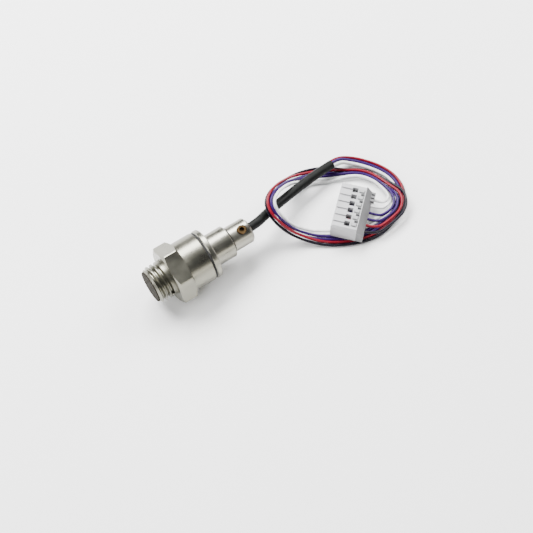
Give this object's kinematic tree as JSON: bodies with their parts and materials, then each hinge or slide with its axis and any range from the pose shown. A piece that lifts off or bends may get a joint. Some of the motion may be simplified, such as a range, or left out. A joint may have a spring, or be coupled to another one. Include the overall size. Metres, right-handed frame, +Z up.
{
  "type": "ultrasonic distance sensor",
  "caption": "Threaded metal ultrasonic sensor head with hexagon, stepped rear and clamp screw, on a short sleeved lead of thin cores ending in a pole-by-pole clamp plug.",
  "frame": {"origin": "under the middle of the metal probe, on the surface that the probe lies on", "axes": "+X from the sensing face along the probe to the lead, +Z up"},
  "size_m": [0.0903, 0.034, 0.0192],
  "materials": {
    "steel_body": "satin turned steel",
    "steel_rear": "satin turned steel",
    "steel_cap": "satin turned steel",
    "face_disc": "rough brownish-grey sensing face",
    "soft_liner": "matt",
    "ceramic": "fired ceramic with silvered faces",
    "backing": "filled resin",
    "ring_brass": "turned",
    "screw_brass": "turned, slightly dulled",
    "inner_copper": "insulated core",
    "board": "solder mask",
    "board_parts": "moulded packages",
    "carrier": "natural moulded",
    "seal": "matt",
    "bush": "matt",
    "sleeve": "semi-matt heat-shrink",
    "plug_grey": "moulded, fine grain",
    "cover_grey": "moulded, fine grain",
    "tab_grey": "moulded",
    "contact_metal": "tinned spring strip",
    "wire_white": "extruded insulation",
    "wire_violet": "extruded insulation",
    "wire_red": "extruded insulation",
    "wire_black": "extruded insulation"
  },
  "bodies": {
    "sensor": {"hex_body": "steel_body", "face_disc": "face_disc", "element_cup": "soft_liner", "piezo_disc": "ceramic", "backing_block": "backing", "retaining_ring": "ring_brass", "element_leads": "inner_copper", "circuit_board": "board", "board_parts": "board_parts", "board_carrier": "carrier", "inner_wires": "inner_copper", "body_seal": "seal", "rear_housing": "steel_rear", "cap_seal": "seal", "end_cap": "steel_cap", "cable_bush": "bush", "cable_sleeve": "sleeve", "plug_body": "plug_grey", "plug_cover": "cover_grey", "plug_contacts": "contact_metal", "clamp_springs": "contact_metal", "wire_white_1": "wire_white", "wire_white_2": "wire_white", "wire_violet_1": "wire_violet", "wire_violet_2": "wire_violet", "wire_red": "wire_red", "wire_black": "wire_black"},
    "pad": {"clamp_pad": "ring_brass"},
    "screw": {"set_screw": "screw_brass"},
    "tab_1": {"release_tab_1": "tab_grey"},
    "tab_2": {"release_tab_2": "tab_grey"},
    "tab_3": {"release_tab_3": "tab_grey"},
    "tab_4": {"release_tab_4": "tab_grey"},
    "tab_5": {"release_tab_5": "tab_grey"},
    "tab_6": {"release_tab_6": "tab_grey"}
  },
  "joints": [
    {"name": "pad_slide", "type": "slide", "parent": "sensor", "child": "pad", "axis": [0, -0.2079, 0.9781], "range_m": [0, 0.001]},
    {"name": "screw_turn", "type": "hinge", "parent": "pad", "child": "screw", "pos_m": [0.01505, 0, 0.00965], "axis": [0, -0.2079, 0.9781], "range_deg": [0, 720]},
    {"name": "tab_press_1", "type": "slide", "parent": "sensor", "child": "tab_1", "axis": [0, 0, -1], "range_m": [0, 0.0005], "stiffness_N_per_m": 300, "springref_m": -0.0003},
    {"name": "tab_press_2", "type": "slide", "parent": "sensor", "child": "tab_2", "axis": [0, 0, -1], "range_m": [0, 0.0005], "stiffness_N_per_m": 300, "springref_m": -0.0003},
    {"name": "tab_press_3", "type": "slide", "parent": "sensor", "child": "tab_3", "axis": [0, 0, -1], "range_m": [0, 0.0005], "stiffness_N_per_m": 300, "springref_m": -0.0003},
    {"name": "tab_press_4", "type": "slide", "parent": "sensor", "child": "tab_4", "axis": [0, 0, -1], "range_m": [0, 0.0005], "stiffness_N_per_m": 300, "springref_m": -0.0003},
    {"name": "tab_press_5", "type": "slide", "parent": "sensor", "child": "tab_5", "axis": [0, 0, -1], "range_m": [0, 0.0005], "stiffness_N_per_m": 300, "springref_m": -0.0003},
    {"name": "tab_press_6", "type": "slide", "parent": "sensor", "child": "tab_6", "axis": [0, 0, -1], "range_m": [0, 0.0005], "stiffness_N_per_m": 300, "springref_m": -0.0003}
  ],
  "couplings": [
    {"joint": "screw_turn", "follows": "pad_slide", "rad_per_m": 12566}
  ]
}
